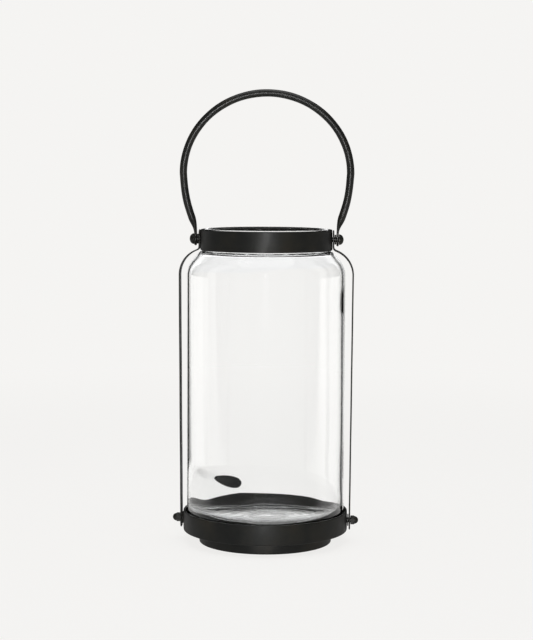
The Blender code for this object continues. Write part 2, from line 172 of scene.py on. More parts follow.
# a drilled hole along X: the piece less a round bar, worked out once so that no modifier stays live
def drillHole(piece, lowX, highX, height, radius, turns=32, sharpFrom=40):
    angle = np.arange(turns) * 2 * np.pi / turns
    ring = np.stack([0 * angle, radius * np.cos(angle), height + radius * np.sin(angle)], -1)
    rows = np.stack([ring + [lowX, 0, 0], ring + [highX, 0, 0]])
    bar = meshFromRows("bar", rows, False, ((lowX, 0, height), (highX, 0, height)))
    cut = piece.modifiers.new("hole", "BOOLEAN")
    cut.operation, cut.solver, cut.object = "DIFFERENCE", "EXACT", bar
    bpy.context.view_layer.update()
    whole = piece.evaluated_get(bpy.context.evaluated_depsgraph_get())
    mesh = bpy.data.meshes.new_from_object(whole)
    mesh.name = piece.name
    piece.modifiers.clear()
    piece.data = mesh
    bpy.data.objects.remove(bar)
    mesh.shade_smooth()
    mesh.set_sharp_from_angle(angle=np.radians(sharpFrom))


def finishPiece(piece, body, slot, material, *nodes):
    piece.data.materials.clear()
    piece.data.materials.append(material)
    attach(piece, body)
    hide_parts(*nodes)


# ---- finishes


def newMaterial(name):
    material = bpy.data.materials.new(name)
    material.use_nodes = True
    tree = material.node_tree
    return material, tree, tree.nodes["Principled BSDF"]


def addNode(tree, kind, **sockets):
    node = tree.nodes.new(kind)
    for name, value in sockets.items():
        node.inputs[name.replace("_", " ")].default_value = value
    return node


def colourRamp(tree, source, stops):
    ramp = tree.nodes.new("ShaderNodeValToRGB")
    while len(ramp.color_ramp.elements) < len(stops):
        ramp.color_ramp.elements.new(0.5)
    for element, (place, colour) in zip(ramp.color_ramp.elements, stops):
        element.position, element.color = place, (*colour, 1)
    tree.links.new(source, ramp.inputs["Fac"])
    return ramp.outputs["Color"]


# noise keeps mostly between 0.3 and 0.7: that span is stretched over low to high
def spreadRange(tree, source, low, high):
    spread = addNode(tree, "ShaderNodeMapRange")
    spread.inputs["From Min"].default_value, spread.inputs["From Max"].default_value = 0.3, 0.7
    spread.inputs["To Min"].default_value, spread.inputs["To Max"].default_value = low, high
    tree.links.new(source, spread.inputs["Value"])
    return spread.outputs["Result"]


# black paint on iron: slow patches of colour, mottled gloss, and two depths of bump (hammering and grit)
def ironPaint(name, spec):
    material, tree, shader = newMaterial(name)
    place = tree.nodes.new("ShaderNodeTexCoord").outputs["Object"]
    noises = {}
    for key in ("patch", "gloss", "hammer", "grit"):
        noise = addNode(tree, "ShaderNodeTexNoise", Scale=spec[key + "Scale"], Detail=5.0, Roughness=0.6)
        tree.links.new(place, noise.inputs["Vector"])
        noises[key] = noise.outputs["Fac"]
    shader.inputs["Specular IOR Level"].default_value = spec["shine"]
    tree.links.new(colourRamp(tree, noises["patch"], spec["colours"]), shader.inputs["Base Color"])
    tree.links.new(spreadRange(tree, noises["gloss"], *spec["rough"]), shader.inputs["Roughness"])
    bumpBefore = None
    for key in ("hammer", "grit"):
        strength, depth = spec[key + "Strength"], spec[key + "Depth"]
        bump = addNode(tree, "ShaderNodeBump", Strength=strength, Distance=depth)
        tree.links.new(noises[key], bump.inputs["Height"])
        if bumpBefore:
            tree.links.new(bumpBefore, bump.inputs["Normal"])
        bumpBefore = bump.outputs["Normal"]
    tree.links.new(bumpBefore, shader.inputs["Normal"])
    return material


ironLook = {
    "colours": [
        (0.30, (0.0060, 0.0066, 0.0062)),
        (0.48, (0.0105, 0.0110, 0.0095)),
        (0.62, (0.0165, 0.0155, 0.0115)),
        (0.75, (0.0240, 0.0195, 0.0135)),
    ],
    "patchScale": 26.0,
    "glossScale": 48.0,
    "rough": (0.34, 0.50),
    "hammerScale": 95.0,
    "hammerStrength": 0.35,
    "hammerDepth": 0.0003,
    "gritScale": 1500.0,
    "gritStrength": 0.14,
    "gritDepth": 0.00006,
    "shine": 0.30,
}
fasteningLook = dict(
    ironLook,
    patchScale=120.0,
    glossScale=160.0,
    rough=(0.28, 0.42),
    hammerScale=420.0,
    hammerDepth=0.0001,
    shine=0.35,
)
handleLook = dict(
    ironLook,
    rough=(0.30, 0.38),
    hammerScale=45.0,
    hammerStrength=0.10,
    gritStrength=0.02,
    shine=0.45,
)


# clear blown glass: it bends light at 1.5, with a slow ripple in its skin; lamps and soft light pass
# straight through so that what it holds is lit; a little light is lost inside, which darkens long edges
def blownGlass(name, spec):
    material, tree, shader = newMaterial(name)
    shader.inputs["Base Color"].default_value = (*spec["colour"], 1)
    shader.inputs["Roughness"].default_value = spec["rough"]
    shader.inputs["IOR"].default_value = spec["bend"]
    shader.inputs["Transmission Weight"].default_value = 1.0
    place = tree.nodes.new("ShaderNodeTexCoord").outputs["Object"]
    ripple = addNode(tree, "ShaderNodeTexNoise", Scale=spec["rippleScale"], Detail=1.0)
    bump = addNode(tree, "ShaderNodeBump", Strength=spec["rippleStrength"], Distance=spec["rippleDepth"])
    tree.links.new(place, ripple.inputs["Vector"])
    tree.links.new(ripple.outputs["Fac"], bump.inputs["Height"])
    tree.links.new(bump.outputs["Normal"], shader.inputs["Normal"])
    rays = tree.nodes.new("ShaderNodeLightPath")
    either = tree.nodes.new("ShaderNodeMath")
    either.operation = "MAXIMUM"
    tree.links.new(rays.outputs["Is Shadow Ray"], either.inputs[0])
    tree.links.new(rays.outputs["Is Diffuse Ray"], either.inputs[1])
    passing = addNode(tree, "ShaderNodeBsdfTransparent")
    passing.inputs["Color"].default_value = (*spec["passes"], 1)
    join = tree.nodes.new("ShaderNodeMixShader")
    output = tree.nodes["Material Output"]
    tree.links.new(either.outputs[0], join.inputs[0])
    tree.links.new(shader.outputs[0], join.inputs[1])
    tree.links.new(passing.outputs[0], join.inputs[2])
    tree.links.new(join.outputs[0], output.inputs["Surface"])
    loss = addNode(tree, "ShaderNodeVolumeAbsorption", Density=spec["lossPerMetre"])
    loss.inputs["Color"].default_value = (*spec["lossColour"], 1)
    tree.links.new(loss.outputs[0], output.inputs["Volume"])
    return material


glassLook = {
    "colour": (1.0, 1.0, 1.0),
    "rough": 0.0,
    "bend": 1.5,
    "rippleScale": 24.0,
    "rippleStrength": 0.10,
    "rippleDepth": 0.0006,
    "passes": (0.96, 0.965, 0.96),
    "lossPerMetre": 10.0,
    "lossColour": (0.35, 0.42, 0.40),
}


# soft grey-black strip: fibres as stretched noise in both colour and bump
def softStrip(name, spec):
    material, tree, shader = newMaterial(name)
    place = tree.nodes.new("ShaderNodeTexCoord").outputs["Object"]
    fibre = addNode(tree, "ShaderNodeTexNoise", Scale=spec["fibreScale"], Detail=6.0, Distortion=1.2)
    tree.links.new(place, fibre.inputs["Vector"])
    tree.links.new(colourRamp(tree, fibre.outputs["Fac"], spec["colours"]), shader.inputs["Base Color"])
    tree.links.new(spreadRange(tree, fibre.outputs["Fac"], *spec["rough"]), shader.inputs["Roughness"])
    bump = addNode(tree, "ShaderNodeBump", Strength=spec["fibreStrength"], Distance=spec["fibreDepth"])
    tree.links.new(fibre.outputs["Fac"], bump.inputs["Height"])
    tree.links.new(bump.outputs["Normal"], shader.inputs["Normal"])
    return material


stripLook = {
    "colours": [(0.35, (0.010, 0.010, 0.010)), (0.65, (0.035, 0.034, 0.031))],
    "rough": (0.80, 0.98),
    "fibreScale": 900.0,
    "fibreStrength": 0.5,
    "fibreDepth": 0.0002,
}

ironBlack = ironPaint("satin black paint on iron", ironLook)
handleBlack = ironPaint("satin black paint on the handle", handleLook)
fasteningBlack = ironPaint("satin black paint on fastenings", fasteningLook)
clearGlass = blownGlass("clear blown glass", glassLook)
darkStrip = softStrip("dark soft strip", stripLook)
print("finishes made")


# ---- rings and plate of the base, and the neck band


# closed strip ring: a rounded rectangle in (radius, height) turned fully round, with
# radius = outline radius + waves - belly * (1 - sin(pi * share of the height))
def makeRing(node, spec):
    low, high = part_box(node)
    outer, inner = high.x, high.x - spec["wall"]
    outline = roundedOutline(inner, outer, low.z, high.z, spec["edge"], 5, spec["sideSteps"])
    angles = np.arange(spec["turns"]) * 2 * np.pi / spec["turns"]

    def push(angle, height):
        belly = spec["belly"] * np.sin(np.pi * np.clip((height - low.z) / (high.z - low.z), 0, 1))
        return handWaves(angle, height, spec["waves"]) - spec["belly"] + belly

    return meshFromRows(node + "_fine", turnedRows(outline, angles, push), True)


footSpec = {
    "wall": 0.0020,
    "edge": 0.0005,
    "belly": 0.00025,
    "turns": 320,
    "sideSteps": 8,
    "waves": {"seed": 3, "turns": (3, 5, 7, 11, 17), "climb": 60.0, "size": 0.00006},
}
foot = makeRing("foot_ring", footSpec)
finishPiece(foot, "frame", "painted_iron", ironBlack, "foot_ring")

baseRingSpec = {
    "wall": 0.0020,
    "edge": 0.0007,
    "belly": 0.0002,
    "turns": 360,
    "sideSteps": 12,
    "waves": {"seed": 8, "turns": (3, 4, 7, 12, 19, 27), "climb": 50.0, "size": 0.00007},
    "holeRadius": 0.0028,
}
baseRing = makeRing("base_ring", baseRingSpec)
boltLow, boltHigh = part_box("strap_screw_right")
boltHeight = (boltLow.z + boltHigh.z) / 2
for side in (-1, 1):
    ends = sorted((side * (boltLow.x - drillPast), side * (boltHigh.x + drillPast)))
    drillHole(baseRing, ends[0], ends[1], boltHeight, baseRingSpec["holeRadius"])
finishPiece(baseRing, "frame", "painted_iron", ironBlack, "base_ring")

plateSpec = {"edge": 0.0004, "turns": 240, "dish": 0.0002, "rings": 60}


# round plate with a rounded edge, flat below and dished on top:
# top height = face height - dish * (1 + cos(pi * r / R)) / 2
def makePlate(node, spec):
    low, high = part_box(node)
    radius = high.x / np.cos(np.pi / cadTurns)
    outline = roundedOutline(-radius, radius, low.z, high.z, spec["edge"], 6, spec["rings"])
    half = outline[outline[:, 0] > 1e-4]
    half = half[np.argsort(np.arctan2(half[:, 1] - (low.z + high.z) / 2, half[:, 0]))]
    middle = (low.z + high.z) / 2
    order = np.where(half[:, 1] > middle, 2 * radius - half[:, 0], half[:, 0])
    half = half[np.argsort(order, kind="stable")]
    angle = (np.arange(spec["turns"]) * 2 * np.pi / spec["turns"])[None, :]
    r, z = half[:, 0, None], half[:, 1, None]
    z = z - spec["dish"] * (0.5 + 0.5 * np.cos(np.pi * r / radius)) * (z > middle)
    rows = np.stack([r * np.cos(angle), r * np.sin(angle), z + 0 * angle], -1)
    poles = ((0, 0, low.z), (0, 0, high.z - spec["dish"]))
    return meshFromRows(node + "_fine", rows, False, poles)


plate = makePlate("base_plate", plateSpec)
finishPiece(plate, "frame", "painted_iron", ironBlack, "base_plate")
print("base made")

bandSpec = {
    "wall": 0.0020,
    "edge": 0.0006,
    "slit": 0.0022,
    "slitTurn": np.radians(2.6),
    "turns": 340,
    "lean": 0.0002,  # lower edge flares out by this
    "waves": {"seed": 21, "turns": (2, 3, 5, 8, 13, 21), "climb": 70.0, "size": 0.00007},
    "holeRadius": 0.0028,
}


# open strip ring: the rounded rectangle turned from one side of the slit to the other, its last rows drawn
# in towards the strip's middle line as a quarter round
def makeBand(node, spec):
    low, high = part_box(node)
    outer, inner = high.x, high.x - spec["wall"]
    outline = roundedOutline(inner, outer, low.z, high.z, spec["edge"], 5, 12)
    middle = np.array([(inner + outer) / 2, (low.z + high.z) / 2])
    back = np.pi / 2 + spec["slitTurn"]
    half = spec["slit"] / 2 / outer
    angles = np.linspace(back + half, back + 2 * np.pi - half, spec["turns"])
    ease = np.linspace(0, np.pi / 2, 5)[1:]
    edgeTurn = spec["edge"] / outer
    first = angles[0] + edgeTurn * (1 - np.sin(ease[::-1]))[:0:-1]
    last = (2 * back + 2 * np.pi - first)[::-1]
    angles = np.concatenate([[angles[0]], first, angles[1:-1], last, [angles[-1]]])
    gap = np.minimum(angles - angles[0], angles[-1] - angles) * outer
    shrink = spec["edge"] * (1 - np.sqrt(np.clip(1 - (1 - np.clip(gap / spec["edge"], 0, 1)) ** 2, 0, 1)))
    half = np.array([(outer - inner) / 2, (high.z - low.z) / 2])
    local = outline - middle
    scale = 1 - shrink[:, None, None] / half
    shaped = middle + local[None] * scale
    angle = angles[:, None]
    height = shaped[:, :, 1]
    lean = spec["lean"] * (0.5 - (height - low.z) / (high.z - low.z)) - spec["lean"] / 2
    radius = shaped[:, :, 0] + handWaves(angle, height, spec["waves"]) + lean
    rows = np.stack([radius * np.cos(angle), radius * np.sin(angle), height], -1)
    poles = [rows[k].mean(0) for k in (0, -1)]
    return meshFromRows(node + "_fine", rows, False, poles)


band = makeBand("neck_band", bandSpec)
rivetLow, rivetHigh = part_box("pivot_rivet_right")
pivotHeight = (rivetLow.z + rivetHigh.z) / 2
for side in (-1, 1):
    ends = sorted((side * (rivetLow.x - drillPast), side * (rivetHigh.x + drillPast)))
    drillHole(band, ends[0], ends[1], pivotHeight, bandSpec["holeRadius"])
finishPiece(band, "frame", "painted_iron", ironBlack, "neck_band")

linerSpec = {
    "wall": 0.0012,
    "edge": 0.0003,
    "belly": 0.0,
    "turns": 240,
    "sideSteps": 10,
    "waves": {"seed": 5, "turns": (3, 7, 13), "climb": 30.0, "size": 0.00002},
}
liner = makeRing("neck_liner", linerSpec)
finishPiece(liner, "frame", "soft_liner", darkStrip, "neck_liner")

padSpec = dict(linerSpec, wall=0.0200, edge=0.0004, sideSteps=14)
pad = makeRing("glass_seat_pad", padSpec)
finishPiece(pad, "frame", "soft_liner", darkStrip, "glass_seat_pad")
print("neck band, liner and seat pad made")


# ---- glass jar

jarSpec = {
    "rows": 350,
    "turns": 270,
    "heel": 0.0075,  # outside corner radius at the bottom
    "kick": 0.0024,  # how far the middle of the underside is pushed up
    # underside from the middle outwards: (radius, share of the kick)
    "underside": ((0, 1), (0.014, 1), (0.0185, 0.8), (0.0222, 0.1), (0.026, 0), (0.045, 0)),
    "shoulderRound": 0.0240,
    "shoulderHeight": 0.2680,
    "shoulderTurn": 40,  # degrees of the shoulder's arc before its straight slope
    # outer and inner slope from that arc up into the neck: (radius, height)
    "outerSlope": (
        (0.0710, 0.2861),
        (0.0687, 0.2889),
        (0.0669, 0.2911),
        (0.0655, 0.2925),
        (0.0640, 0.2931),
        (0.0627, 0.2937),
        (0.0617, 0.2953),
    ),
    "innerSlope": (
        (0.0589, 0.2936),
        (0.0602, 0.2915),
        (0.0622, 0.2907),
        (0.0642, 0.2897),
        (0.0660, 0.2878),
        (0.0685, 0.2848),
    ),
    "neckOuter": 0.0616,
    "neckInner": 0.0588,
    "outerNeckFoot": 0.2975,
    "rimStraight": 0.0040,  # the neck runs straight to this far below the rim
    "innerNeck": (0.3000, 0.2965),  # heights between which the inside of the neck is straight
    "straightWall": (0.25, 0.12),  # and the inside of the wall
    "wall": 0.0027,
    "aside": 0.0004,  # the inside stands this far towards the left, so the wall is thin there
    "floorFlat": 0.0600,
    # inner wall from above the heel down to the floor: (radius, height)
    "innerHeel": (
        (0.0753, 0.0600),
        (0.0762, 0.0420),
        (0.0757, 0.0345),
        (0.0722, 0.0290),
        (0.0675, 0.0262),
    ),
    # thick spots inside: (turn in degrees, height, reach round in degrees, reach up, reach down, depth)
    "lumps": (
        (3.0, 0.243, 16.0, 0.010, 0.010, 0.0005),
        (-127.5, 0.0528, 28.5, 0.0248, 0.060, 0.0041),
    ),
    "outerWaves": {"seed": 12, "turns": (2, 3, 4, 6), "climb": 26.0, "size": 0.00012},
    "innerWaves": {"seed": 30, "turns": (1, 2, 3, 5, 7), "climb": 34.0, "size": 0.00022},
    # where the waves fade in: by radius, under the shoulder, above the heel
    "wavesRadius": (0.050, 0.070),
    "wavesTop": (0.270, 0.288),
    "wavesFoot": (0.030, 0.060),
    "floorRipple": 0.00018,
    "rippleStep": 0.0085,
    "rippleMiddle": (0.004, 0.012),
    "rippleEdge": (0.058, 0.050),
    "bendWeight": 0.012,  # rows gather in the bends
}


# the jar's skin as one line in (radius, height): out along the underside, up the wall, over the shoulder
# and rim, and back down inside to the middle of the floor
def jarOutline(spec, outer, bottom, floor, rim):
    def arc(centreR, centreZ, radius, start, stop, count):
        t = np.radians(np.linspace(start, stop, count))
        return np.stack([centreR + radius * np.cos(t), centreZ + radius * np.sin(t)], -1)

    kick, heel, wall = spec["kick"], spec["heel"], spec["wall"]
    pushed = [(r, bottom + share * kick) for r, share in spec["underside"]]
    under = smoothLine([*pushed, (outer - heel, bottom)], 3)
    corner = arc(outer - heel, bottom + heel, heel, -90, 0, 16)
    bigRound, top, turn = spec["shoulderRound"], spec["shoulderHeight"], spec["shoulderTurn"]
    shoulder = arc(outer - bigRound, top, bigRound, 0, turn, 24)
    neckOuter, neckInner = spec["neckOuter"], spec["neckInner"]
    neck = smoothLine(
        [shoulder[-1], *spec["outerSlope"]]
        + [(neckOuter, spec["outerNeckFoot"]), (neckOuter, rim - spec["rimStraight"])],
        3,
    )
    lip = (neckOuter - neckInner) / 2
    rimArc = arc(neckInner + lip, rim - lip, lip, 0, 180, 14)
    innerShoulder = arc(outer - bigRound, top, bigRound - wall, turn, 0, 22)
    innerNeck = smoothLine(
        [rimArc[-1]]
        + [(neckInner, z) for z in spec["innerNeck"]]
        + [*spec["innerSlope"], innerShoulder[0]],
        3,
    )
    innerWall = smoothLine(
        [innerShoulder[-1]]
        + [(outer - wall, z) for z in spec["straightWall"]]
        + list(spec["innerHeel"])
        + [(spec["floorFlat"] - 0.002, floor), (0.040, floor), (0, floor)],
        4,
    )
    parts = [under, corner, shoulder, neck, rimArc, innerNeck, innerShoulder, innerWall]
    line = np.vstack([p if k == 0 else p[1:] for k, p in enumerate(parts)])
    return line[np.concatenate([[True], np.linalg.norm(np.diff(line, axis=0), axis=1) > 1e-6])]


# radius = outline radius + waves - aside * cos(turn), faded out at neck and base, less
# depth * exp(-(a / wide)^4 - (h / reach)^4) for each thick spot; the inner floor's height =
# outline height + ripple * cos(2 pi r / rippleStep), faded out at its middle and edge
def makeJar(spec):
    low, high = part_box("glass_jar")
    outer = high.x / np.cos(np.pi / cadTurns)
    floor = frame["record"]["mounts"][1]["pos_m"][2]
    line = spacedLine(jarOutline(spec, outer, low.z, floor, high.z), spec["rows"], spec["bendWeight"])
    rimRow = int(np.argmax(line[:, 1]))
    inside = (np.arange(len(line)) > rimRow)[:, None]
    angle = (np.arange(spec["turns"]) * 2 * np.pi / spec["turns"])[None, :]
    r, z = line[:, 0, None], line[:, 1, None] + 0 * angle
    underShoulder = 1 - smoothStep(*spec["wavesTop"], z)
    onWall = smoothStep(*spec["wavesRadius"], r) * underShoulder * smoothStep(*spec["wavesFoot"], z)
    push = np.where(
        inside,
        handWaves(angle, z, spec["innerWaves"]),
        handWaves(angle, z, spec["outerWaves"]) - spec["outerWaves"]["size"],
    )
    onFloor = inside & (z < floor + 0.001) & (r < spec["floorFlat"])
    ripple = spec["floorRipple"] * np.cos(2 * np.pi * r / spec["rippleStep"])
    ripple = ripple * smoothStep(*spec["rippleEdge"], r)
    z = z + np.where(onFloor, ripple * smoothStep(*spec["rippleMiddle"], r), 0)
    r = r + push * onWall - np.where(inside, spec["aside"] * np.cos(angle) * onWall, 0)
    for around, height, wide, up, down, depth in spec["lumps"]:
        turned = (angle - np.radians(around) + np.pi) % (2 * np.pi) - np.pi
        reach = np.where(z > height, up, down)
        far = (turned / np.radians(wide)) ** 4 + ((z - height) / reach) ** 4
        r = r - np.where(inside & (r > spec["floorFlat"]), depth * np.exp(-far), 0)
    rows = np.stack([r * np.cos(angle), r * np.sin(angle), z], -1)[1:-1]
    poles = ((0, 0, line[0, 1]), (0, 0, line[-1, 1]))
    return meshFromRows("glass_jar_fine", rows, False, poles)


jar = makeJar(jarSpec)
finishPiece(jar, "frame", "clear_glass", clearGlass, "glass_jar")
print("glass jar made:", len(jar.data.polygons), "faces")


# ---- side straps

strapSpec = {
    "width": 0.0120,
    "thick": 0.0014,
    "edge": 0.0004,
    "smallBend": 0.0040,
    "shoulderX": 0.0602,
    "shoulderZ": 0.2684,
    "shoulderRound": 0.0264,
    # last points above the tip: (outwards, height)
    "foot": ((0.0001, 0.045), (0, 0.036), (0, 0.028)),
    "tipThin": 0.35,  # share of the thickness left at the very tip
    "tipLength": 0.0008,
    "wavesFrom": (0.016, 0.05),  # the waves fade in this far from the ends
    "rows": 300,
    "endRows": 14,
    "holeRadius": 0.0028,
    "waves": {"seed": 40, "turns": (1, 2, 3, 5), "climb": 90.0, "size": 0.00008},
}


# the strap's middle line in (x, z): upright beside the band, a hollow bend, a round bend over the
# shoulder, then a straight run in to the base ring
def strapLine(spec, highX, lowX, top, bottom):
    bend, round_ = spec["smallBend"], spec["shoulderRound"]
    reach = round_ + bend
    turn = np.arccos((highX + bend - spec["shoulderX"]) / reach)
    centre = np.array([highX + bend, spec["shoulderZ"] + reach * np.sin(turn)])
    small = np.pi + turn * np.linspace(0, 1, 14)
    large = turn * (1 - np.linspace(0, 1, 60))[1:]
    hollow = centre + bend * np.stack([np.cos(small), np.sin(small)], -1)
    over = [spec["shoulderX"], spec["shoulderZ"]] + round_ * np.stack([np.cos(large), np.sin(large)], -1)
    lowRun = [(lowX + out, z) for out, z in spec["foot"]]
    lowRun = smoothLine([over[-1], *lowRun, (lowX, bottom)], 3)
    return np.vstack([[(highX, top)], hollow, over, lowRun[1:]])


# a rounded strip outline carried down that line; near each end its half width is half * sin(t) at
# half * (1 - cos(t)) from the tip, which makes the end a half circle
def makeStrap(label, side, spec):
    node = "side_strap_" + label
    low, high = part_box(node)
    thick, half = spec["thick"], spec["width"] / 2
    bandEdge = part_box("neck_band")[1].x
    highX = bandEdge + pieceGap + thick / 2
    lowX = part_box("acorn_nut_right")[0].x - pieceGap - thick / 2
    line = strapLine(spec, highX, lowX, high.z, low.z)
    fine = spacedLine(line, 6000, 0.0)
    travel = np.concatenate([[0], np.cumsum(np.linalg.norm(np.diff(fine, axis=0), axis=1))])
    total = travel[-1]
    ease = half * (1 - np.cos(np.linspace(0.03, np.pi / 2, spec["endRows"])))
    at = np.concatenate([ease, np.linspace(half, total - half, spec["rows"])[1:-1], (total - ease)[::-1]])
    path = np.stack([np.interp(at, travel, fine[:, k]) for k in (0, 1)], -1)
    tipGap = np.clip(np.minimum(at, total - at), 0, half)
    width = np.sqrt(np.clip(half**2 - (half - tipGap) ** 2, 1e-10, None))
    outline = roundedOutline(-half, half, -thick / 2, thick / 2, spec["edge"], 4, 5)
    outlines = np.repeat(outline[None], len(at), 0)
    outlines[:, :, 0] *= (width / half)[:, None]
    outlines[:, :, 1] *= np.clip(tipGap / spec["tipLength"], spec["tipThin"], 1)[:, None]
    free = smoothStep(*spec["wavesFrom"], np.minimum(at, total - at))
    path[:, 0] += free * handWaves(0 * at, at, dict(spec["waves"], seed=spec["waves"]["seed"] + side))
    rows = sweptRows(path, outlines) * [side, 1, 1]
    poles = [rows[k].mean(0) for k in (0, -1)]
    strap = meshFromRows(node + "_fine", rows, False, poles)
    for x, z in ((highX, pivotHeight), (lowX, boltHeight)):
        ends = sorted((side * (x - drillPast), side * (x + drillPast)))
        drillHole(strap, ends[0], ends[1], z, spec["holeRadius"])
    return strap


for side, label in ((-1, "left"), (1, "right")):
    strap = makeStrap(label, side, strapSpec)
    finishPiece(strap, "frame", "painted_iron", ironBlack, "side_strap_" + label)
print("side straps made")


# ---- hoop handle

hoopSpec = {
    "rod": 0.0037,
    "eyeThick": 0.0011,  # half thickness of the flattened eye
    "eyeWide": 0.0066,
    "eyeMiddle": 0.0708,
    "flatFrom": 0.0130,  # length from the tip where the flat starts to round out
    "flatTo": 0.0290,
    "widestHeight": 0.3693,
    "halfWidth": 0.0832,
    "rise": 0.0794,
    "around": 32,
    "rows": 420,
    # the arm's middle line up to the widest point: (distance from the middle, height)
    "arm": (
        (0.0708, 0.2976),
        (0.0708, 0.3042),
        (0.0708, 0.3092),
        (0.0710, 0.3127),
        (0.0720, 0.3176),
        (0.0737, 0.3226),
        (0.0754, 0.3276),
        (0.0771, 0.3326),
        (0.0800, 0.3425),
        (0.0821, 0.3550),
        (0.0832, 0.3693),
    ),
    "holeRadius": 0.0028,
    "drillReach": 0.0050,
    "tipLength": 0.0012,  # over which the eye thins to half at its tip
    "uneven": 0.012,  # share of the rod's thickness
    "unevenRate": 180.0,
}


# a section carried round the hoop: |a / width|^p + |b / thickness|^p = 1, with p = 2 on the rod and 5 at
# the eyes, whose width follows a half circle to the tip; the rod's thickness wanders by a slow sine
def makeHoop(spec):
    arm = smoothLine(spec["arm"], 3)
    t = np.linspace(0, np.pi, 181)[1:-1]
    top = np.stack([spec["halfWidth"] * np.cos(t), spec["widestHeight"] + spec["rise"] * np.sin(t)], -1)
    line = np.vstack([arm, top, arm[::-1] * [-1, 1]])
    fine = spacedLine(line, 8000, 0.0)
    travel = np.concatenate([[0], np.cumsum(np.linalg.norm(np.diff(fine, axis=0), axis=1))])
    total, wide = travel[-1], spec["eyeWide"]
    ease = wide * (1 - np.cos(np.linspace(0.03, np.pi / 2, 14)))
    at = np.concatenate([ease, np.linspace(wide, total - wide, spec["rows"])[1:-1], (total - ease)[::-1]])
    path = np.stack([np.interp(at, travel, fine[:, k]) for k in (0, 1)], -1)
    gap = np.minimum(at, total - at)
    share = smoothStep(spec["flatFrom"], spec["flatTo"], gap)
    thickness = spec["eyeThick"] + (spec["rod"] - spec["eyeThick"]) * share
    width = wide + (spec["rod"] - wide) * share
    tipGap = np.clip(gap, 0, wide)
    width = np.where(gap < wide, np.sqrt(np.clip(wide**2 - (wide - tipGap) ** 2, 1e-10, None)), width)
    thickness = thickness * np.clip(0.5 + gap / spec["tipLength"], 0.5, 1)
    power = (5.0 - 3.0 * share)[:, None]
    angle = np.arange(spec["around"]) * 2 * np.pi / spec["around"]
    c, s = np.cos(angle)[None], np.sin(angle)[None]
    a = width[:, None] * np.sign(s) * np.abs(s) ** (2 / power)
    b = thickness[:, None] * np.sign(c) * np.abs(c) ** (2 / power)
    b = b * (1 + (spec["uneven"] * np.sin(at * spec["unevenRate"] + 1) * share)[:, None])
    rows = sweptRows(path, np.stack([a, b], -1))
    poles = [rows[k].mean(0) for k in (0, -1)]
    hoop = meshFromRows("handle_hoop_fine", rows, False, poles)
    for side in (-1, 1):
        reach = spec["drillReach"]
        ends = sorted((side * (spec["eyeMiddle"] - reach), side * (spec["eyeMiddle"] + reach)))
        drillHole(hoop, ends[0], ends[1], pivotHeight, spec["holeRadius"])
    return hoop


hoop = makeHoop(hoopSpec)
finishPiece(hoop, "handle", "painted_iron", handleBlack, "handle_hoop")
print("hoop handle made")


# ---- rivets, screws, washers and dome nuts

fasteningSpec = {
    "turns": 64,
    "hole": 0.0028,
    "shank": 0.0025,
    "sunkRound": 0.0043,
    "sunkTall": 0.0013,
    "rivetFlat": 0.0004,  # upright edge under the rivet's dome
    "edge": 0.00025,
    "hexHalf": 0.0046,
    "hexTall": 0.0040,
    "domeRound": 0.0038,
    "coneFrom": 0.0001,  # the hex's end cone starts this far outside its flats
    "coneSlope": 1.2,
    "blindDepth": 0.0056,
    "nutSharpFrom": 32,  # degrees
    "headLess": 0.0001,  # taken off the rivet's head, for its dents to stand out
    "hammerMarks": 0.00010,
    "rivetSeed": 50,
    "washerMarks": 0.00003,
    "washerSeed": 60,
}


# an (along, radius) line turned round an X axis at a height: (side * along, r cos a, height + r sin a)
def turnedOnX(name, line, side, height, closed, turns, marks=0.0, seed=1):
    angle = (np.arange(turns) * 2 * np.pi / turns)[None, :]
    x, r = line[:, 0, None] + 0 * angle, line[:, 1, None] + 0 * angle
    dents = handWaves(angle, x * 300, {"seed": seed, "turns": (2, 3, 5, 7), "climb": 8.0, "size": marks})
    r = r + dents * smoothStep(0.0, 0.002, r)
    rows = np.stack([side * x, r * np.cos(angle), height + r * np.sin(angle)], -1)
    if closed:
        return meshFromRows(name, rows, True)
    poles = ((side * line[0, 0], 0, height), (side * line[-1, 0], 0, height))
    return meshFromRows(name, rows[1:-1], False, poles)


# straight legs with each corner rounded as (1 - t)^2 p + 2 t (1 - t) corner + t^2 q, and a point close to
# each end of the curve so that flats stay flat when smoothed
def corneredLine(points, edge, closed=False):
    points = np.asarray(points, float)
    first, last = (points[-1:], points[:1]) if closed else (points[:1], points[-1:])
    ring = np.vstack([first, points, last])
    parts = []
    for before, here, after in zip(ring[:-2], ring[1:-1], ring[2:]):
        back, ahead = before - here, after - here
        lb, la = np.linalg.norm(back), np.linalg.norm(ahead)
        if lb < 1e-9 or la < 1e-9:
            parts.append(here[None])
            continue
        cut = min(edge, 0.45 * lb, 0.45 * la)
        p, q = here + back / lb * cut, here + ahead / la * cut
        t = np.linspace(0, 1, 5)[:, None]
        curve = (1 - t) ** 2 * p + 2 * t * (1 - t) * here + t**2 * q
        outerP = here + back / lb * min(2 * cut, 0.49 * lb)
        outerQ = here + ahead / la * min(2 * cut, 0.49 * la)
        parts.append(np.vstack([outerP, curve, outerQ]))
    return np.vstack(parts)


# quarter ellipse: (start + tall * sin t, radius * cos t)
def domeLine(start, tall, radius, count=16):
    t = np.linspace(0, np.pi / 2, count)
    return np.stack([start + tall * np.sin(t), radius * np.cos(t)], -1)


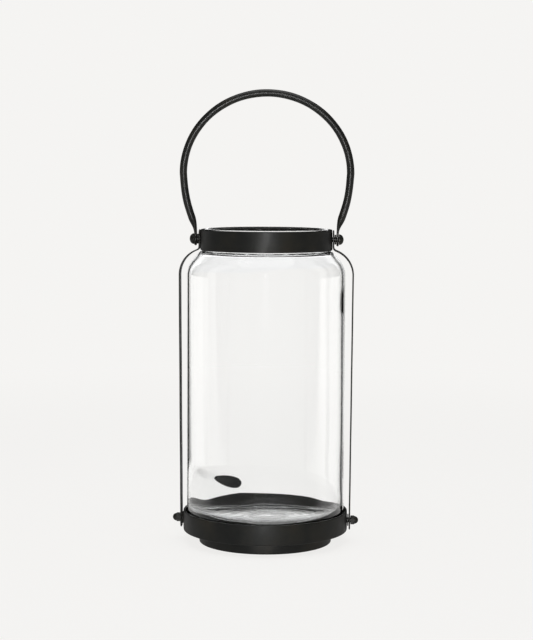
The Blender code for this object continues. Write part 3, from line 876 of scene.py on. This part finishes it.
# sunk end, shank, upright edge and dome of the head, as one (along, radius) line turned round X
def makeRivet(label, side, spec):
    node = "pivot_rivet_" + label
    low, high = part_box(node)
    start, tip = (low.x, high.x) if side > 0 else (-high.x, -low.x)
    headStart = hoopSpec["eyeMiddle"] + hoopSpec["eyeThick"] + pieceGap
    headRound = (high.z - low.z) / 2 - spec["headLess"]
    body = corneredLine(
        [
            (start, 0),
            (start, spec["sunkRound"]),
            (start + spec["sunkTall"], spec["shank"]),
            (headStart, spec["shank"]),
            (headStart, headRound),
            (headStart + spec["rivetFlat"], headRound),
        ],
        spec["edge"],
    )
    dome = domeLine(headStart + spec["rivetFlat"], tip - headStart - spec["rivetFlat"], headRound)
    line = np.vstack([body[:-1], dome])
    marks, seed = spec["hammerMarks"], spec["rivetSeed"] + side
    return turnedOnX(node + "_fine", line, side, pivotHeight, False, spec["turns"], marks, seed)


# a rectangle of (along, radius) with softened corners, turned round X
def makeWasher(node, side, height, spec):
    low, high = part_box(node)
    start, stop = (low.x, high.x) if side > 0 else (-high.x, -low.x)
    outer = (high.y - low.y) / 2
    corners = [(start, spec["hole"]), (start, outer), (stop, outer), (stop, spec["hole"])]
    line = corneredLine(corners, spec["edge"], True)
    marks, seed = spec["washerMarks"], spec["washerSeed"]
    return turnedOnX(node + "_fine", line, side, height, True, spec["turns"], marks, seed)


# sunk head, cone and plain shank, as one (along, radius) line turned round X
def makeScrew(label, side, spec):
    node = "strap_screw_" + label
    low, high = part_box(node)
    start, stop = (low.x, high.x) if side > 0 else (-high.x, -low.x)
    line = corneredLine(
        [
            (start, 0),
            (start, spec["sunkRound"]),
            (start + spec["sunkTall"], spec["shank"]),
            (stop, spec["shank"]),
            (stop, 0),
        ],
        spec["edge"],
    )
    return turnedOnX(node + "_fine", line, side, boltHeight, False, spec["turns"])


# dome nut: on the hex part r = flat / cos(angle from the nearest flat's middle), limited by a cone at both
# ends; the dome is a quarter ellipse, and a blind hole is closed by its own flat floor
def makeNut(label, side, spec):
    node = "acorn_nut_" + label
    low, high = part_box(node)
    start, tip = (low.x, high.x) if side > 0 else (-high.x, -low.x)
    turns = spec["turns"] + 8
    angle = (np.arange(turns) * 2 * np.pi / turns)[None, :]
    near = (angle + np.pi / 6) % (np.pi / 3) - np.pi / 6
    flat = spec["hexHalf"] * np.cos(np.pi / 6)
    hexTop = start + spec["hexTall"]
    depth = start + spec["blindDepth"]
    hexAt = np.linspace(0, 1, 16)[:, None]
    x = start + spec["hexTall"] * hexAt
    cone = flat + spec["coneFrom"] + spec["coneSlope"] * np.minimum(x - start, hexTop - x)
    hexR = np.minimum(flat / np.cos(near), cone)
    dome = domeLine(hexTop, tip - hexTop, spec["domeRound"], 18)[:-1]
    inner = np.array([(depth, spec["hole"] * 0.5), (depth, spec["hole"]), (depth - 0.001, spec["hole"])])
    inner = np.vstack([inner, [(start + 0.0005, spec["hole"]), (start, spec["hole"] + 0.0004)]])
    xs = np.vstack([inner[:, 0, None] + 0 * angle, x + 0 * angle, dome[:, 0, None] + 0 * angle])
    rs = np.vstack([inner[:, 1, None] + 0 * angle, hexR, dome[:, 1, None] + 0 * angle])
    rows = np.stack([side * xs, rs * np.cos(angle), boltHeight + rs * np.sin(angle)], -1)
    poles = ((side * depth, 0, boltHeight), (side * tip, 0, boltHeight))
    nut = meshFromRows(node + "_fine", rows, False, poles)
    nut.data.set_sharp_from_angle(angle=np.radians(spec["nutSharpFrom"]))
    return nut


for side, label in ((-1, "left"), (1, "right")):
    rivet = makeRivet(label, side, fasteningSpec)
    finishPiece(rivet, "frame", "painted_fastenings", fasteningBlack, "pivot_rivet_" + label)
    for kind, height in (("pivot_washer_", pivotHeight), ("strap_washer_", boltHeight)):
        washer = makeWasher(kind + label, side, height, fasteningSpec)
        finishPiece(washer, "frame", "painted_fastenings", fasteningBlack, kind + label)
    screw = makeScrew(label, side, fasteningSpec)
    finishPiece(screw, "frame", "painted_fastenings", fasteningBlack, "strap_screw_" + label)
    nut = makeNut(label, side, fasteningSpec)
    finishPiece(nut, "frame", "painted_fastenings", fasteningBlack, "acorn_nut_" + label)
print("fastenings made")


# ---- floor, light and camera

stageSpec = {
    "pale": (0.913, 0.905, 0.890),  # the even pale tone of floor and surroundings
    "through": 1.16,  # how much of the floor and surroundings is seen through glass
    "mirrored": (0.15, 1.05),  # how much of the floor glass mirrors: in front, and behind
    "mirrorSide": (-0.15, 0.05),  # from front to behind
    "worldSoft": 0.08,  # how much of it reaches gloss and soft light from all round
    "floorGloss": 0.40,  # how much of the floor is mirrored in satin paint
    "floorRings": (0.25, 0.5, 1.0, 2.0, 5.0, 15.0, 60.0),
    "floorTurns": 96,
    "floorDrop": 0.0002,
    "litRadius": (0.45, 1.5),
    "floorColour": (0.20, 0.20, 0.20),
    "floorGlow": 0.90,
}


# one sum on two inputs, each a number or a socket
def mathNode(tree, operation, first, second):
    node = addNode(tree, "ShaderNodeMath")
    node.operation = operation
    for socket, value in zip(node.inputs, (first, second)):
        if isinstance(value, float):
            socket.default_value = value
        else:
            tree.links.new(value, socket)
    return node.outputs[0]


# low + share * (high - low), each a number or a socket
def mixValue(tree, share, low, high):
    node = addNode(tree, "ShaderNodeMapRange")
    for name, value in (("Value", share), ("To Min", low), ("To Max", high)):
        if isinstance(value, float):
            node.inputs[name].default_value = value
        else:
            tree.links.new(value, node.inputs[name])
    return node.outputs["Result"]


# switch that is one for sharp rays that came straight through glass, with no bounce on the way:
# sharp * min(transmission depth, 1) * (glossy depth < 0.5) * (diffuse depth < 0.5)
def straightThrough(tree, rays):
    passed = mathNode(tree, "MINIMUM", rays["Transmission Depth"], 1.0)
    sharp = mathNode(tree, "MULTIPLY", passed, rays["Is Singular Ray"])
    unmirrored = mathNode(tree, "LESS_THAN", rays["Glossy Depth"], 0.5)
    unsoftened = mathNode(tree, "LESS_THAN", rays["Diffuse Depth"], 0.5)
    return mathNode(tree, "MULTIPLY", sharp, mathNode(tree, "MULTIPLY", unmirrored, unsoftened))


# floor disc: its middle takes light and shadow, and it fades to the even pale tone further out; its glow
# is mixed by the kind of ray: 1 for the eye, from front to behind (by y) when mirrored in glass, more
# when seen through it, and floorGloss in satin paint
def makeFloor(spec):
    turns, height = spec["floorTurns"], cadLow.z - spec["floorDrop"]
    angle = np.arange(turns) * 2 * np.pi / turns
    radii = np.array(spec["floorRings"])[:, None]
    flat = np.full((len(radii), turns), height)
    rows = np.stack([radii * np.cos(angle), radii * np.sin(angle), flat], -1)
    points = np.vstack([rows.reshape(-1, 3), [(0, 0, height)]])
    index = np.arange(len(radii) * turns).reshape(len(radii), turns)
    across = np.roll(index, -1, 1)
    quads = np.stack([index, np.roll(index, -1, 0), np.roll(across, -1, 0), across], -1)[:-1].reshape(-1, 4)
    fan = np.stack([index[0], across[0], np.full(turns, len(points) - 1)], -1)
    mesh = bpy.data.meshes.new("pale_floor")
    mesh.from_pydata(points.tolist(), [], quads.tolist() + fan.tolist())
    floor = bpy.data.objects.new("pale_floor", mesh)
    bpy.context.scene.collection.objects.link(floor)
    material, tree, shader = newMaterial("pale floor")
    shader.inputs["Base Color"].default_value = (*spec["floorColour"], 1)
    shader.inputs["Roughness"].default_value = 0.9
    shader.inputs["Specular IOR Level"].default_value = 0.0
    shader.inputs["Emission Color"].default_value = (*spec["pale"], 1)
    place = tree.nodes.new("ShaderNodeTexCoord").outputs["Object"]
    rays = tree.nodes.new("ShaderNodeLightPath").outputs
    apart = tree.nodes.new("ShaderNodeSeparateXYZ")
    tree.links.new(place, apart.inputs[0])
    behind = tree.nodes.new("ShaderNodeMapRange")
    behind.interpolation_type = "SMOOTHSTEP"
    behind.inputs["From Min"].default_value, behind.inputs["From Max"].default_value = spec["mirrorSide"]
    tree.links.new(apart.outputs["Y"], behind.inputs["Value"])
    mirrored = mixValue(tree, behind.outputs["Result"], *spec["mirrored"])
    inGlass = mixValue(tree, straightThrough(tree, rays), mirrored, spec["through"])
    sharp = mixValue(tree, rays["Is Singular Ray"], 1.0, inGlass)
    blurred = mathNode(tree, "SUBTRACT", 1.0, rays["Is Singular Ray"])
    satin = mathNode(tree, "MULTIPLY", rays["Is Glossy Ray"], blurred)
    seen = mixValue(tree, satin, sharp, spec["floorGloss"])
    glow = mathNode(tree, "MULTIPLY", seen, spec["floorGlow"])
    tree.links.new(glow, shader.inputs["Emission Strength"])
    distance = tree.nodes.new("ShaderNodeVectorMath")
    distance.operation = "LENGTH"
    fade = tree.nodes.new("ShaderNodeMapRange")
    fade.interpolation_type = "SMOOTHSTEP"
    fade.inputs["From Min"].default_value, fade.inputs["From Max"].default_value = spec["litRadius"]
    even = addNode(tree, "ShaderNodeEmission")
    even.inputs["Color"].default_value = (*spec["pale"], 1)
    tree.links.new(seen, even.inputs["Strength"])
    join = tree.nodes.new("ShaderNodeMixShader")
    tree.links.new(place, distance.inputs[0])
    tree.links.new(distance.outputs["Value"], fade.inputs["Value"])
    tree.links.new(fade.outputs["Result"], join.inputs[0])
    tree.links.new(shader.outputs[0], join.inputs[1])
    tree.links.new(even.outputs[0], join.inputs[2])
    tree.links.new(join.outputs[0], tree.nodes["Material Output"].inputs["Surface"])
    mesh.materials.append(material)
    return floor


makeFloor(stageSpec)


# surroundings: the even pale tone where seen directly or through glass, a dimmer one for all other light
def makeSurroundings(spec):
    world = bpy.data.worlds.new("studio")
    bpy.context.scene.world = world
    world.use_nodes = True
    tree = world.node_tree
    background = tree.nodes["Background"]
    background.inputs["Color"].default_value = (*spec["pale"], 1)
    rays = tree.nodes.new("ShaderNodeLightPath").outputs
    unseen = mixValue(tree, straightThrough(tree, rays), spec["worldSoft"], spec["through"])
    strength = mixValue(tree, rays["Is Camera Ray"], unseen, 1.0)
    tree.links.new(strength, background.inputs["Strength"])


makeSurroundings(stageSpec)


# upright or tilted flat card, facing what it aims at:
# corners = place +- across * width / 2 +- up * height / 2
def makeCard(name, place, aim, width, height, material):
    turn = (Vector(aim) - Vector(place)).to_track_quat("Z", "Y").to_matrix()
    corners = [(-1, -1), (1, -1), (1, 1), (-1, 1)]
    points = [Vector(place) + turn @ Vector((a * width / 2, b * height / 2, 0)) for a, b in corners]
    mesh = bpy.data.meshes.new(name)
    mesh.from_pydata([tuple(p) for p in points], [], [(0, 1, 2, 3)])
    mesh.materials.append(material)
    card = bpy.data.objects.new(name, mesh)
    bpy.context.scene.collection.objects.link(card)
    card.visible_camera = card.visible_shadow = False
    return card


lampSpec = {
    # name: (place, aims at, width, height, brightness for satin paint and the floor, brightness for glass)
    "front box": ((0.10, -2.30, 0.13), (0, 0, 0.20), 0.30, 0.26, 58.0, 0.3),
    "front strip": ((0.10, -2.30, 0.95), (0, 0, 0.22), 0.05, 0.60, 36.0, 3.0),
    "top box": ((0.0, -0.10, 1.90), (0, 0, 0.20), 1.60, 1.60, 1.6, 0.7),
    "backdrop": ((-0.60, 9.00, 5.90), (-0.60, 0, 5.90), 16.0, 12.0, 0.08, 1.03),
    "back glow": ((-0.20, 3.00, 0.86), (0, 0, 0.86), 1.10, 0.60, 0.08, 2.0),
}


# glowing cards: brightness is mixed from the satin to the glass value by whether the ray is a sharp one
def makeLamps(spec):
    for name, (place, aim, width, height, satin, glass) in spec.items():
        material, tree, _ = newMaterial(name)
        glow = addNode(tree, "ShaderNodeEmission")
        rays = tree.nodes.new("ShaderNodeLightPath").outputs
        tree.links.new(mixValue(tree, rays["Is Singular Ray"], satin, glass), glow.inputs["Strength"])
        tree.links.new(glow.outputs[0], tree.nodes["Material Output"].inputs["Surface"])
        card = makeCard(name, place, aim, width, height, material)
        card.visible_diffuse = satin > 1  # only the bright ones light soft surfaces


makeLamps(lampSpec)

fillSpec = {"place": (0.0, -0.6, 2.4), "size": 1.2, "watts": 3.0}
fill = bpy.data.lights.new("fill", "AREA")
fill.shape, fill.size, fill.energy = "SQUARE", fillSpec["size"], fillSpec["watts"]
fillHolder = bpy.data.objects.new("fill", fill)
bpy.context.scene.collection.objects.link(fillHolder)
fillHolder.location = fillSpec["place"]
fillHolder.visible_camera = fillHolder.visible_glossy = fillHolder.visible_transmission = False

flagSpec = {
    # name: (place, width, height, tone): cards met only by light that a glass wall has mirrored
    "left flag": ((-0.156, 0.120, 0.150), 0.104, 0.300, 0.006),
    "right flag": ((0.150, 0.120, 0.150), 0.104, 0.300, 0.450),
}


# dark cards, clear to every ray that has not been mirrored: emission * (glossy depth > 0.5)
def makeFlags(spec):
    for name, (place, width, height, tone) in spec.items():
        material, tree, _ = newMaterial(name)
        shade = addNode(tree, "ShaderNodeEmission", Strength=1.0)
        shade.inputs["Color"].default_value = (tone, tone, tone, 1)
        rays = tree.nodes.new("ShaderNodeLightPath").outputs
        join = tree.nodes.new("ShaderNodeMixShader")
        tree.links.new(mathNode(tree, "GREATER_THAN", rays["Glossy Depth"], 0.5), join.inputs[0])
        tree.links.new(tree.nodes.new("ShaderNodeBsdfTransparent").outputs[0], join.inputs[1])
        tree.links.new(shade.outputs[0], join.inputs[2])
        tree.links.new(join.outputs[0], tree.nodes["Material Output"].inputs["Surface"])
        card = makeCard(name, place, (place[0], -1.0, place[2]), width, height, material)
        card.visible_diffuse = card.visible_glossy = False


makeFlags(flagSpec)

cameraSpec = {
    "distance": 1.700,
    "around": 3.8,  # degrees from straight in front, towards the right strap
    "height": 0.3760,
    "down": 5.130,  # degrees
    "roll": 0.26,
    "lens": 96.01,
    "sensor": 36.0,
    "clip": (0.05, 200.0),
    "aside": 0.0004,
}


# moved back and up, turned round the middle, tilted down and rolled
def makeCamera(spec):
    data = bpy.data.cameras.new("camera")
    data.lens, data.sensor_width = spec["lens"], spec["sensor"]
    data.clip_start, data.clip_end = spec["clip"]
    camera = bpy.data.objects.new("camera", data)
    bpy.context.scene.collection.objects.link(camera)
    bpy.context.scene.camera = camera
    around = np.radians(spec["around"])
    turn = Matrix.Rotation(around, 4, "Z")
    tilt = Matrix.Rotation(np.radians(90 - spec["down"]), 4, "X")
    roll = Matrix.Rotation(np.radians(spec["roll"]), 4, "Z")
    place = Matrix.Translation((spec["aside"], -spec["distance"], cadLow.z + spec["height"]))
    camera.matrix_world = turn @ place @ tilt @ roll


makeCamera(cameraSpec)
bpy.context.scene.view_settings.view_transform = "Standard"
print("stage, lamps and camera made")
